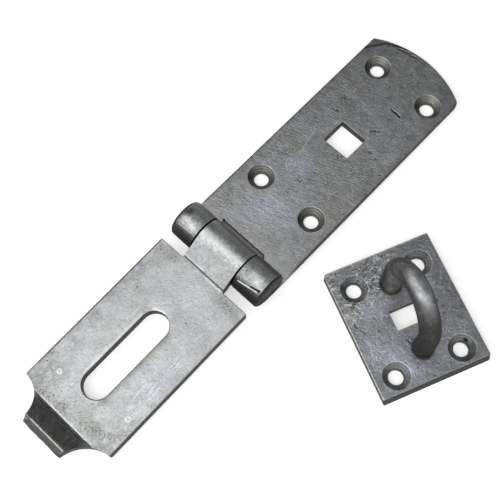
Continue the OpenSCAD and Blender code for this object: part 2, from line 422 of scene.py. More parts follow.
def patchy(tree, mm, size, low, high, detail=3.0):
    """Uneven patches about the given size across: 0 where the noise is under low, 1 from high on."""
    settings = {"Scale": 1 / size, "Detail": detail, "Roughness": 0.55}
    cloud = add(tree, "ShaderNodeTexNoise", settings, {"Vector": mm}).outputs["Fac"]
    settings = {"From Min": low, "From Max": high}
    return add(tree, "ShaderNodeMapRange", settings, {"Value": cloud}).outputs["Result"]


def crystals(tree, mm):
    """Grain of frozen zinc crystals, drawn about twice as coarse as real so that it shows."""
    return patchy(tree, mm, 0.9, 0.3, 0.7, 4.0)


def strokes(tree, mm, heading, length, width, low):
    """Fine strokes along a heading in degrees. The higher low is, the fewer they are."""
    turn = (0, 0, math.radians(heading))
    settings = {"vector_type": "TEXTURE", "Rotation": turn, "Scale": (length, width, width)}
    drawn_out = add(tree, "ShaderNodeMapping", settings, {"Vector": mm}).outputs[0]
    return patchy(tree, drawn_out, 1.0, low, low + 0.06, 2.0)


def pits(tree, mm, spacing, radius, share):
    """Round pits, at most one to a cell. The larger share is, the more of the cells have one."""
    cells = add(tree, "ShaderNodeTexVoronoi", {"Scale": 1 / spacing, "Randomness": 1.0}, {"Vector": mm})
    settings = {"From Min": radius / spacing, "From Max": 0.4 * radius / spacing}
    links = {"Value": cells.outputs["Distance"]}
    inside = add(tree, "ShaderNodeMapRange", settings, links).outputs["Result"]
    settings = {"From Min": 0.995 - share, "From Max": 1.0 - share}
    links = {"Value": cells.outputs["Color"]}
    chosen = add(tree, "ShaderNodeMapRange", settings, links).outputs["Result"]
    return add(tree, "ShaderNodeMath", {"operation": "MULTIPLY"}, {0: inside, 1: chosen}).outputs[0]


def nearest_of(tree, mm, places):
    """The distance to the nearest of the places."""
    nearest = None
    for place in places:
        settings = {"operation": "DISTANCE", 1: place}
        away = add(tree, "ShaderNodeVectorMath", settings, {0: mm}).outputs["Value"]
        if nearest is None:
            nearest = away
        else:
            nearest = add(tree, "ShaderNodeMath", {"operation": "MINIMUM"}, {0: nearest, 1: away}).outputs[0]
    return nearest


def spots(tree, mm, places, radius, soft):
    """1 inside a radius of any of the places, fading to 0 over the soft width outside it."""
    away = nearest_of(tree, mm, places)
    settings = {"From Min": radius + soft, "From Max": radius}
    return add(tree, "ShaderNodeMapRange", settings, {"Value": away}).outputs["Result"]


def nick(tree, mm, start, end, full, none):
    """1 up to a full distance from the line between two places, fading to 0 at the distance none."""
    along = end - start
    from_start = add(tree, "ShaderNodeVectorMath", {"operation": "SUBTRACT", 1: start}, {0: mm}).outputs[0]
    settings = {"operation": "DOT_PRODUCT", 1: along / along.length_squared}
    share = add(tree, "ShaderNodeVectorMath", settings, {0: from_start}).outputs["Value"]
    held = add(tree, "ShaderNodeClamp", {}, {"Value": share}).outputs[0]
    nearest = add(tree, "ShaderNodeVectorMath", {"operation": "SCALE", 0: along}, {"Scale": held}).outputs[0]
    links = {0: from_start, 1: nearest}
    away = add(tree, "ShaderNodeVectorMath", {"operation": "DISTANCE"}, links).outputs["Value"]
    settings = {"From Min": none, "From Max": full}
    return add(tree, "ShaderNodeMapRange", settings, {"Value": away}).outputs["Result"]


def nicks(tree, mm, lines, full, none):
    """Several short marks as one pattern, each from a start to an end."""
    marks = None
    for start, end in lines:
        mark = nick(tree, mm, start, end, full, none)
        if marks is None:
            marks = mark
        else:
            marks = add(tree, "ShaderNodeMath", {"operation": "MAXIMUM"}, {0: marks, 1: mark}).outputs[0]
    return marks


def tilted(tree, axis, none, full):
    """0 where the cosine between a surface's normal and an axis is none, and 1 where it is full."""
    normal = add(tree, "ShaderNodeTexCoord").outputs["Normal"]
    settings = {"operation": "DOT_PRODUCT", 1: axis}
    along = add(tree, "ShaderNodeVectorMath", settings, {0: normal}).outputs["Value"]
    size = add(tree, "ShaderNodeMath", {"operation": "ABSOLUTE"}, {0: along}).outputs[0]
    settings = {"From Min": none, "From Max": full}
    return add(tree, "ShaderNodeMapRange", settings, {"Value": size}).outputs["Result"]


def countersinks(tree, mm, holes):
    """The cones as one region, and the rings that the tool's chatter left in them."""
    flat = add(tree, "ShaderNodeVectorMath", {"operation": "MULTIPLY", 1: (1, 1, 0)}, {0: mm}).outputs[0]
    nearest = nearest_of(tree, flat, [(x, y, 0) for x, y in holes])
    settings = {"operation": "MULTIPLY", 1: math.tau / CHATTER_PITCH}
    turns = add(tree, "ShaderNodeMath", settings, {0: nearest}).outputs[0]
    wave = add(tree, "ShaderNodeMath", {"operation": "SINE"}, {0: turns}).outputs[0]
    settings = {"From Min": COUNTERSINK_R, "From Max": COUNTERSINK_R - 0.5}
    cones = add(tree, "ShaderNodeMapRange", settings, {"Value": nearest}).outputs["Result"]
    rings = add(tree, "ShaderNodeMath", {"operation": "MULTIPLY"}, {0: wave, 1: cones}).outputs[0]
    return cones, rings


def stained(tree, metal, stains):
    """Lays stains over the metal in turn: each is a pattern, a colour, its cover, and maybe a region."""
    for pattern, colour, cover, *region in stains:
        thickness = add(tree, "ShaderNodeMath", {"operation": "MULTIPLY", 1: cover}, {0: pattern}).outputs[0]
        if region:
            links = {0: thickness, 1: region[0]}
            thickness = add(tree, "ShaderNodeMath", {"operation": "MULTIPLY"}, links).outputs[0]
        settings = {"data_type": "RGBA", MIX_B: linear(colour)}
        metal = add(tree, "ShaderNodeMix", settings, {"Factor": thickness, MIX_A: metal}).outputs[MIX_OUT]
    return metal


def zinc_colour(tree, mm, dull, body, rubbed, cloud):
    """The coat's own colour: olive where it dulled, bluish where rubbed, in clouds of the given size."""
    clouds = patchy(tree, mm, cloud, 0.3, 0.7, 5.0)
    settings = {"stops": [(0.1, linear(dull)), (0.5, linear(body)), (0.9, linear(rubbed))]}
    return add(tree, "ShaderNodeValToRGB", settings, {"Fac": clouds}).outputs["Color"]


def coat(tree, shader, metal, smooth, rough, heights, dulled=None, duller=0.0):
    """Joins the coat to the shader: colour, roughness by its grain, and relief from heights in millimetres.

    The grain is the pattern of the first height. A dulled region is rougher by the value duller.
    """
    tree.links.new(metal, shader.inputs["Base Color"])
    grain = heights[0][0]
    settings = {"To Min": rough, "To Max": smooth}
    roughness = add(tree, "ShaderNodeMapRange", settings, {"Value": grain}).outputs["Result"]
    if dulled:
        settings = {"operation": "MULTIPLY_ADD", 1: duller}
        roughness = add(tree, "ShaderNodeMath", settings, {0: dulled, 2: roughness}).outputs[0]
    tree.links.new(roughness, shader.inputs["Roughness"])
    relief = None
    for pattern, height, *region in heights:
        if region:
            links = {0: pattern, 1: region[0]}
            pattern = add(tree, "ShaderNodeMath", {"operation": "MULTIPLY"}, links).outputs[0]
        links = {0: pattern, 2: relief} if relief else {0: pattern}
        settings = {"operation": "MULTIPLY_ADD", 1: height, 2: 0.0}
        relief = add(tree, "ShaderNodeMath", settings, links).outputs[0]
    bump = add(tree, "ShaderNodeBump", {"Strength": 1.0, "Distance": MM}, {"Height": relief}).outputs[0]
    tree.links.new(bump, shader.inputs["Normal"])


# Materials

def wiped_zinc():
    """Hot-dip galvanised steel strip, wiped as it left the bath.

    The eye sees a pale, nearly even grey with a fine grain, dark specks, and pale drops with dark middles.
    """
    at = on_swinging_leaf
    material, tree, shader, mm = start_zinc("galvanised_steel_wiped")
    leaf_up = Vector((0, 0, 1))
    leaf_up.rotate(Euler((0, -LEAF_SLOPE, 0)))
    rough_mm = ragged(tree, mm, 1.5, 0.5)
    grain = crystals(tree, mm)
    specks = patchy(tree, mm, 1.3, 0.61, 0.69)
    flecks = patchy(tree, mm, 1.6, 0.52, 0.66, 4.0)
    mottle = patchy(tree, mm, 3.2, 0.38, 0.68)
    along = strokes(tree, mm, heading=2, length=12.0, width=0.4, low=0.58)
    across = strokes(tree, mm, heading=-38, length=7.0, width=0.4, low=0.6)
    steep = strokes(tree, mm, heading=64, length=5.0, width=0.4, low=0.6)
    worn = patchy(tree, mm, 9.0, 0.42, 0.6)
    rubbed_side = nick(tree, ragged(tree, mm, 4.0, 2.0), at(22, -17), at(76, -18), 2.0, 7.0)
    long_scratches = strokes(tree, mm, heading=4, length=12.0, width=0.28, low=0.57)
    broken = patchy(tree, mm, 2.0, 0.42, 0.56)
    scratches = nicks(tree, mm, (
        (at(63.7, -18.1), at(40.3, -16.4)),
        (at(57.2, -18.9), at(47.4, -18.6)),
        (at(72.6, -15.4), at(59.2, -14.3)),
        (at(48.6, 10.5), at(41.9, 10.2)),
        (at(74, -20.5), at(60, -20)),
    ), 0.05, 0.3)
    rolled = nick(tree, mm, on_axis(-12), on_axis(13), 12.6, 13.2)
    # Painted light: the back of the middle knuckle is drawn paler than its metal
    lit_barrel_back = nick(tree, mm, on_barrel(-12, 180), on_barrel(13, 180), 6.0, 11.5)
    # Painted highlight: a pale streak along the middle knuckle where it catches the lamp
    tongue_highlight = nick(tree, ragged(tree, mm, 2.5, 1.2), on_barrel(11, 83), on_barrel(-12, 85), 0.6, 3.2)
    # Painted shade: a dark line along the leaf's +Y edge, where its rounding turns away
    shaded_far_edge = nick(tree, mm, at(14, 25.1), at(86, 25.1), 0.6, 1.2)
    pale_spots = spots(tree, rough_mm, (
        at(54.9, 9.2), at(58.1, 17.1), at(62.8, -13.1),
        at(67.5, 21.9), at(74, -16.9), at(90.1, -19.3),
    ), 0.3, 1.4)
    slot_shade = nick(tree, mm, at(SLOT_AT - 17, -6.6), at(SLOT_AT + 19, -6.0), 0.1, 3.0)
    # Painted highlight: a pale line along the slot's rim on its +Y side
    slot_rim_highlight = nick(tree, mm, at(SLOT_AT - 17, 7.4), at(SLOT_AT + 17, 7.4), 0.3, 1.0)
    slot_glint = nick(tree, mm, at(SLOT_AT - 22, 5), at(SLOT_AT - 23.2, 1), 0.5, 1.2)
    drop_places = (at(83.1, 15.3), at(77.7, -19.5))
    drops = spots(tree, rough_mm, drop_places, 0.9, 0.8)
    faint = spots(tree, rough_mm, (at(62.6, 17.8), at(71.8, -2.4)), 0.8, 1.4)
    middles = spots(tree, mm, drop_places, 0.1, 0.35)
    pin_holes = spots(tree, rough_mm, (
        at(77.9, 21.3), at(83.4, 22.3), at(88.3, 8.6),
        at(91.1, 3.9), at(36.0, 17.2), at(33.2, -9.0),
    ), 0.1, 0.4)
    soiled = nicks(tree, ragged(tree, mm, 3.0, 2.0), (
        (at(94, 16), at(91.5, 2)), (at(91.5, -4), at(89, -19)),
        (at(16.5, -12), at(17, -21)), (at(16, 16), at(18, 22)),
    ), 0.8, 4.2)
    soil = patchy(tree, mm, 1.0, 0.54, 0.62)
    # Painted shade: the nose's inner face is drawn dark. The nose's soil is laid only inside it
    shaded_inner_nose = nick(tree, mm, at(BEND_AT + 6.5, -14, 5), at(BEND_AT + 6.5, 14, 5), 4.6, 6.6)
    blue = spots(tree, rough_mm, (at(30.6, 23.4),), 0.6, 1.2)
    by_hinge = nick(tree, rough_mm, at(16, -20), at(16, 20), 4.0, 18.0)
    by_nose = nick(tree, rough_mm, at(BEND_AT, -20), at(BEND_AT, 20), 3.0, 24.0)
    by_far_edge = nick(tree, rough_mm, at(32, 25), at(82, 25), 2.0, 13.0)
    clouds = patchy(tree, ragged(tree, mm, 6.0, 3.0), 6.0, 0.45, 0.62)
    edges = nick(tree, mm, at(40, 0), at(71, 0), 26.5, 19.5)
    # Painted shade: a dark line in the tongue's crease
    crease = nick(tree, mm, at(CREASE_AT - 0.1, -10.9), at(CREASE_AT - 0.1, 12.5), 0.2, 0.5)
    # Painted highlight: pale lines beside the tongue's crease, one on the tongue and one on the leaf
    crease_highlights = nicks(tree, rough_mm, (
        (at(CREASE_AT - 1.0, 12.2, LEAF_TOP + 0.3), at(CREASE_AT - 1.0, 1, LEAF_TOP + 0.3)),
        (at(CREASE_AT + 1.1, -2), at(CREASE_AT + 1.0, -10)),
    ), 0.15, 0.6)
    # Painted highlight: a pale line along the nose's bend
    bend = nick(tree, rough_mm, at(BEND_AT, -13), at(BEND_AT, 13), 0.2, 0.6)
    bend_shade = nick(
        tree, rough_mm, at(BEND_AT + 1.2, -13, LEAF_TOP + 0.6), at(BEND_AT + 1.2, 13, LEAF_TOP + 0.6),
        0.1, 0.6)
    nose = nick(tree, mm, at(BEND_AT + 11, -14, 6), at(BEND_AT + 11, 14, 6), 8.0, 9.0)
    nose_end = tilted(tree, (1, 0, 0), 0.5, 0.62)
    # Painted highlight: a pale line along the top of the nose's worn end
    lip_highlight = nick(tree, rough_mm, at(BEND_AT + 8.7, -11, 6.3), at(BEND_AT + 8.7, 8, 6.3), 0.15, 0.7)
    nose_soil = patchy(tree, mm, 2.0, 0.42, 0.62)
    nose_drips = patchy(tree, mm, 1.2, 0.62, 0.7)
    lip_corner = spots(tree, rough_mm, (
        at(BEND_AT + 10, 12.5, 4.5), at(BEND_AT + 10.5, 9.5, 1.5),
    ), 1.0, 2.5)
    corner_drips = patchy(tree, mm, 1.1, 0.52, 0.58)
    # Painted shade: faces turned along the pin, the barrel's ends and the leaf's long edges, are drawn dark
    shaded_side_slopes = tilted(tree, (0, 1, 0), 0.22, 0.5)
    # Painted shade: the leaf is drawn darker where its faces begin to turn away from its top
    shaded_shoulders = tilted(tree, leaf_up, 0.9, 0.78)
    # Painted shade: faces that turn well away from the leaf's top are drawn dark, partly also the duller cut
    # zinc
    shaded_sides = tilted(tree, leaf_up, 0.76, 0.6)

    metal = zinc_colour(tree, mm, dull="#b2b4b1", body="#babcbd", rubbed="#c0c2cb", cloud=10.0)
    metal = stained(tree, metal, (
        (mottle, "#a2a4a4", 0.35),
        (edges, "#808280", 0.55),
        (by_hinge, "#dcdee0", 0.35),
        (by_nose, "#808280", 0.4),
        (by_far_edge, "#757775", 0.45),
        (clouds, "#dcdee1", 0.4),
        (flecks, "#d8d9dc", 0.3),
        (grain, "#dadbdc", 0.25),
        (rubbed_side, "#c0c3cc", 0.25),
        (soiled, "#98998e", 0.35),
        (soil, "#54554d", 0.6, soiled),
        (shaded_inner_nose, "#72736f", 0.75),
        (lip_highlight, "#e6e6e4", 0.5),
        (nose_soil, "#4c4d4a", 0.4, shaded_inner_nose),
        (along, "#e0e1e4", 0.55, worn),
        (across, "#8f9192", 0.45, worn),
        (steep, "#dedfe2", 0.4, worn),
        (specks, "#7c7d7a", 0.15),
        (specks, "#6c6d6a", 0.5, rolled),
        (soil, "#70716d", 0.4, rolled),
        (flecks, "#f4f4f4", 0.2, rolled),
        (long_scratches, "#f0f1f6", 0.5, rubbed_side),
        (scratches, "#f4f5fa", 0.6, broken),
        (pale_spots, "#dfe0e2", 0.5),
        (slot_shade, "#5e605e", 0.6),
        (slot_rim_highlight, "#e6e6e4", 0.5),
        (slot_glint, "#f6f6f6", 0.6),
        (blue, "#cfd4e4", 0.6),
        (drops, "#e4e6e6", 0.75),
        (faint, "#d0d2d3", 0.4),
        (middles, "#565855", 0.85),
        (pin_holes, "#565755", 0.8),
        (shaded_shoulders, "#9a9c9c", 0.35),
        (shaded_side_slopes, "#4a4b49", 0.8),
        (nose_end, "#585a56", 0.85, nose),
        (bend, "#eeeff5", 0.9),
        (bend_shade, "#333434", 0.55),
        (crease_highlights, "#f4f4f4", 0.8),
        (crease, "#333433", 0.85),
        (shaded_sides, "#474741", 0.95),
        (nose_drips, "#b4b5b0", 0.3, nose),
        (corner_drips, "#f4f4f2", 0.85, lip_corner),
        (shaded_far_edge, "#3f403e", 0.85),
        (lit_barrel_back, "#d8dade", 0.6),
        (tongue_highlight, "#f2f3f4", 0.6),
    ))
    coat(tree, shader, metal, smooth=0.32, rough=0.45, heights=(
        (grain, 0.03), (mottle, 0.04), (specks, -0.05), (along, -0.03), (across, -0.03), (steep, -0.02),
        (drops, 0.06), (middles, -0.08), (pin_holes, -0.1), (soil, -0.04, soiled),
    ), dulled=rolled, duller=0.08)
    return material


def brushed_zinc():
    """Hot-dip galvanised steel strip, brushed by handling since it was dipped.

    The eye sees a cooler, darker grey with crossing strokes, bluish patches, dents and dark lap marks.
    """
    at = on_fixed_leaf
    material, tree, shader, mm = start_zinc("galvanised_steel_brushed")
    rough_mm = ragged(tree, mm, 1.5, 0.5)
    grain = crystals(tree, mm)
    specks = patchy(tree, mm, 1.2, 0.62, 0.7)
    mottle = patchy(tree, mm, 3.0, 0.36, 0.68)
    by_hinge = spots(tree, rough_mm, (at(-45, 2),), 8.0, 14.0)
    dark_clouds = patchy(tree, ragged(tree, mm, 5.0, 3.0), 4.5, 0.5, 0.66)
    pale_clouds = patchy(tree, ragged(tree, mm, 4.0, 3.0), 5.5, 0.5, 0.66)
    scuffs = patchy(tree, mm, 1.1, 0.5, 0.58)
    scuffed = spots(tree, rough_mm, (
        at(12.5, -7), at(8.7, 12.4), at(3.1, -14.2), at(-8, -3),
        at(-28, 1), at(-20, -9), at(15, 13.5),
    ), 0.6, 2.6)
    steep_strokes = strokes(tree, mm, heading=-69, length=5.0, width=0.45, low=0.52)
    long_strokes = strokes(tree, mm, heading=4, length=14.0, width=0.4, low=0.6)
    cross_strokes = strokes(tree, mm, heading=48, length=8.0, width=0.4, low=0.61)
    rubbed = spots(tree, ragged(tree, mm, 4.0, 4.0), (at(-22.8, 6.2), at(-47, 3)), 2.0, 7.0)
    holes = pits(tree, rough_mm, spacing=6.5, radius=0.5, share=0.35)
    dent = nick(tree, rough_mm, at(25.8, -5.2), at(25.4, -10.4), 0.25, 0.6)
    lap = nicks(tree, rough_mm, (
        (at(51.6, 13.2), at(53.6, 7.0)), (at(52.8, 6.6), at(53.9, 3.1)),
    ), 0.1, 0.6)
    scratch = nicks(tree, mm, (
        (at(-27, 7.1), at(-18.2, 10.3)), (at(-18.2, 10.3), at(-4.4, 13.2)),
        (at(-17.6, 9.2), at(-15.2, 11.6)),
    ), 0.05, 0.4)
    dents = spots(tree, rough_mm, (
        at(12.5, -7), at(13.6, -8.4), at(11.4, -5.8), at(8.7, 12.4),
        at(3.1, -12.2), at(2.3, -16.4), at(-2.4, -22.7), at(34, 2.6),
        at(45, -5.5), at(45.5, -0.5),
    ), 0.2, 0.6)
    edges = nick(tree, mm, at(-54, 0), at(32, 0), 27.0, 20.0)
    # Painted highlight: a pale line along the die line's ridge, which the relief also raises
    seam = nick(tree, mm, on_barrel(22.2, 49.5), on_barrel(14.9, 53.0), 0.12, 0.4)
    chip = nicks(tree, mm, (
        (on_barrel(-19.4, 51.5), on_barrel(-23.2, 57.5)), (on_barrel(-21.6, 55.0), on_barrel(-23.4, 59.5)),
    ), 0.3, 0.6)
    # Painted highlight: a white line along the -Y knuckle, running up to the chip
    chip_edge_highlight = nick(tree, mm, on_barrel(-13.3, 39.6), on_barrel(-22.6, 51.9), 0.12, 0.45)
    # Painted shadow: a black line in the gap between the notch and the middle knuckle
    notch_shadow_line = nicks(tree, mm, (
        (Vector((NOTCH_AT, 12.4, 4.6)), Vector((NOTCH_AT, -11.0, 4.6))),
        (Vector((NOTCH_AT, -11.0, 4.6)), Vector((NOTCH_AT - 1.4, -12.1, 4.6))),
        (Vector((NOTCH_AT + 0.3, 12.4, 4.6)), Vector((NOTCH_AT + 0.3, 12.9, 4.6))),
    ), 0.3, 0.55)
    notch_wall = nick(tree, mm, Vector((NOTCH_AT, -11, 2.0)), Vector((NOTCH_AT, 12.4, 2.0)), 2.3, 2.7)
    barrel = nick(tree, mm, on_axis(-25), on_axis(25), 9.0, 9.3)
    # Painted light: the back of the outer knuckles and the leaf beside it are drawn paler than their metal
    lit_barrel_back = nick(tree, mm, on_barrel(-24, 180), on_barrel(24, 180), 4.0, 11.0)
    # Painted light: a pale band on the leaf just beside the outer knuckles
    lit_barrel_foot = nicks(tree, rough_mm, (
        (at(PIN.x + 10, -25), at(PIN.x + 10, -14)), (at(PIN.x + 10, 15), at(PIN.x + 10, 25)),
    ), 1.5, 3.5)
    bluish = spots(tree, ragged(tree, mm, 3.0, 3.0), (at(-47, 2), at(-54.5, 7)), 2.0, 6.0)
    # Painted shade: a dark rim around the barrel's rounded end at +Y
    shaded_far_end = nicks(tree, rough_mm, (
        (on_barrel(25, 20), on_barrel(25, 60)), (on_barrel(25, 60), on_barrel(24.6, 84)),
        (on_barrel(24.6, 84), on_barrel(22, 96)),
    ), 0.8, 2.6)
    # Painted shade: a dark line along the fixed leaf's +Y edge and into its rounded end
    shaded_far_edge = nicks(tree, mm, (
        (at(-64, 25.1), at(41, 25.1)),
        (at(41, 25.1), at(50, 19)), (at(50, 19), at(55, 9)),
    ), 0.4, 0.9)
    olive = spots(tree, ragged(tree, mm, 3.0, 3.0), (
        at(-62, 21), at(-63, 2), at(-58, -8), at(-30, -20),
    ), 1.0, 7.0)
    hinge_scratches = nicks(tree, mm, (
        (at(-57.9, 3.4), at(-57.0, -1.5)), (at(-59.7, 9.6), at(-58.6, 6.2)),
        (at(-50.5, 9.0), at(-46.0, -1.0)), (at(-52.5, 18), at(-47.5, 12.5)),
    ), 0.05, 0.35)
    # Painted shade: the knuckles' lower flanks are drawn dark
    shaded_barrel_low = tilted(tree, (0, 0, 1), 0.84, 0.7)
    barrel_flecks = patchy(tree, mm, 1.1, 0.5, 0.66, 4.0)
    barrel_grime = patchy(tree, ragged(tree, mm, 2.0, 1.0), 2.2, 0.52, 0.64, 4.0)
    # Painted shade: faces turned along the pin, the barrel's ends and the leaf's long edges, are drawn dark
    shaded_side_slopes = tilted(tree, (0, 1, 0), 0.22, 0.5)
    # Painted highlight: pale spots on the outer knuckles' tops where they catch the lamp
    knuckle_highlights = spots(tree, ragged(tree, mm, 2.0, 2.0), (
        on_barrel(-20.5, 78), on_barrel(-17.5, 84), on_barrel(17, 70), on_barrel(20, 76),
    ), 0.6, 2.2)
    # The cones are drawn darker as painted shade, then a little paler at the end as a painted glint
    cones, rings = countersinks(tree, mm, LEAF_SCREWS)
    # Painted shade: faces that begin to turn away from up, such as the knuckles' upper flanks and the cones,
    # are drawn darker
    shaded_shoulders = tilted(tree, (0, 0, 1), 0.88, 0.76)
    # Painted shade: faces that turn well away from up are drawn dark, partly also the duller cut zinc
    shaded_sides = tilted(tree, (0, 0, 1), 0.76, 0.6)

    metal = zinc_colour(tree, mm, dull="#a9aba6", body="#b4b6b7", rubbed="#bdc0c8", cloud=9.0)
    metal = stained(tree, metal, (
        (mottle, "#8f9293", 0.45),
        (dark_clouds, "#7b7e80", 0.55),
        (pale_clouds, "#d6d8da", 0.4),
        (rubbed, "#d2d5e6", 0.6),
        (olive, "#9f9e8c", 0.45),
        (bluish, "#c6cadf", 0.4),
        (grain, "#d8d9dc", 0.3),
        (steep_strokes, "#dedfe4", 0.5, by_hinge),
        (long_strokes, "#d6d8dd", 0.35),
        (cross_strokes, "#828486", 0.4),
        (specks, "#5f615f", 0.5),
        (holes, "#424443", 0.55),
        (dents, "#343534", 0.75),
        (edges, "#828483", 0.35),
        (scratch, "#e4e4e6", 0.6),
        (hinge_scratches, "#e4e4e0", 0.55),
        (scuffs, "#3e3f3d", 0.6, scuffed),
        (lap, "#2a2b2a", 0.85),
        (shaded_shoulders, "#6e7071", 0.6),
        (shaded_side_slopes, "#4a4b49", 0.7),
        (barrel_flecks, "#eeeff0", 0.4, barrel),
        (barrel_grime, "#74746c", 0.3, barrel),
        (specks, "#4c4e4c", 0.5, barrel),
        (knuckle_highlights, "#e8e9ea", 0.6),
        (shaded_barrel_low, "#4a4b4a", 0.75, barrel),
        (cones, "#74766f", 0.4),
        (shaded_sides, "#3f403c", 0.93),
        (cones, "#b2b2a6", 0.16),
        (lit_barrel_back, "#c6c8cb", 0.6),
        (lit_barrel_foot, "#c9c9c0", 0.4),
        (shaded_side_slopes, "#343532", 0.92, barrel),
        (shaded_far_end, "#3f403e", 0.8),
        (notch_wall, "#85837a", 0.9),
        (notch_shadow_line, "#121312", 0.95),
        (shaded_far_edge, "#353634", 0.75),
        (dent, "#1a1b1a", 0.95),
        (seam, "#c8c8c6", 0.6),
        (chip, "#151615", 0.95),
        (chip_edge_highlight, "#f2f2f2", 0.9),
    ))
    coat(tree, shader, metal, smooth=0.3, rough=0.44, heights=(
        (grain, 0.03), (mottle, 0.05), (specks, -0.05), (steep_strokes, -0.02), (long_strokes, -0.02),
        (cross_strokes, -0.02), (holes, -0.08), (dents, -0.1), (dent, -0.2), (lap, -0.15), (rings, 0.03),
        (scuffs, -0.08, scuffed), (seam, 0.1), (chip, -0.3), (barrel_flecks, 0.03, barrel),
    ), dulled=barrel, duller=0.14)
    return material


def pin_zinc():
    """Drawn steel pin, galvanised with the hinge put together.

    The eye sees plain dull grey metal with a fine grain, at the barrel's ends and in the gaps.
    """
    material, tree, shader, mm = start_zinc("galvanised_drawn_pin")
    grain = crystals(tree, mm)
    drawn = strokes(tree, mm, heading=90, length=9.0, width=0.4, low=0.55)
    # Painted shade: the pin's end faces are drawn dark, as the barrel's ends are
    ends = tilted(tree, (0, 1, 0), 0.5, 0.7)
    metal = zinc_colour(tree, mm, dull="#6c6e6c", body="#7a7c7c", rubbed="#86888c", cloud=5.0)
    metal = stained(tree, metal, ((drawn, "#5a5c5a", 0.5), (ends, "#343534", 0.95), (grain, "#8a8c8c", 0.2)))
    coat(tree, shader, metal, smooth=0.38, rough=0.5, heights=((grain, 0.02), (drawn, -0.02)))
    return material


